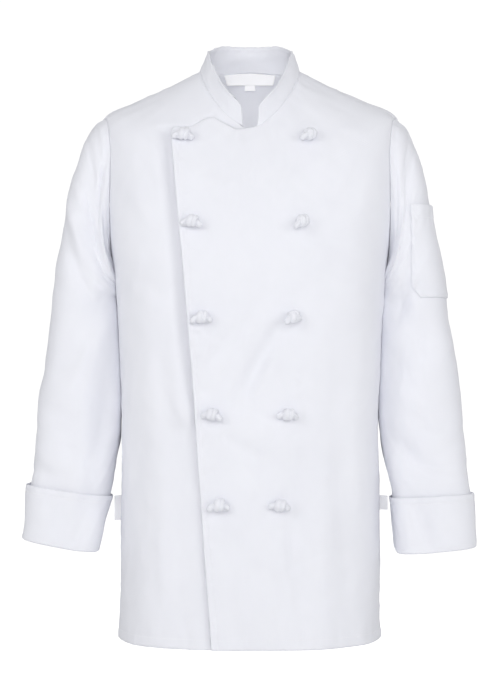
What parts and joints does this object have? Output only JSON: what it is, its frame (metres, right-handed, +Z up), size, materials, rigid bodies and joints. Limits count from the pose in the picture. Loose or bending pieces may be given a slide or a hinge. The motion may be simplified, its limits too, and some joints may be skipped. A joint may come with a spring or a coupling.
{
  "type": "chef jacket",
  "caption": "Long-sleeved double-breasted chef jacket in white twill, hollow and filled out, with a stand collar, knot buttons, turned-back cuffs and a sleeve pocket",
  "frame": {"origin": "Midway between the two points where neck and shoulder seam meet, where the wearer's neck and shoulders hold the jacket up", "axes": "+Z up, the front faces -Y, +X is the wearer's left"},
  "size_m": [0.6328, 0.2612, 0.8432],
  "materials": {
    "white_twill": "matte, smooth polyester and cotton twill",
    "white_cord": "matte, rolled twill cord",
    "label_tape": "satin woven tape"
  },
  "bodies": {
    "root": {"back": "white_twill", "right_front": "white_twill", "left_front": "white_twill", "collar": "white_twill", "sleeve_left": "white_twill", "sleeve_right": "white_twill", "cuff_left": "white_twill", "cuff_right": "white_twill", "sleeve_pocket": "white_twill", "knot_button_1": "white_cord", "knot_button_2": "white_cord", "knot_button_3": "white_cord", "knot_button_4": "white_cord", "knot_button_5": "white_cord", "knot_button_6": "white_cord", "knot_button_7": "white_cord", "knot_button_8": "white_cord", "knot_button_9": "white_cord", "knot_button_10": "white_cord", "side_tag_right": "label_tape", "side_tag_left": "label_tape", "neck_label": "label_tape", "size_tab": "label_tape"}
  },
  "joints": []
}
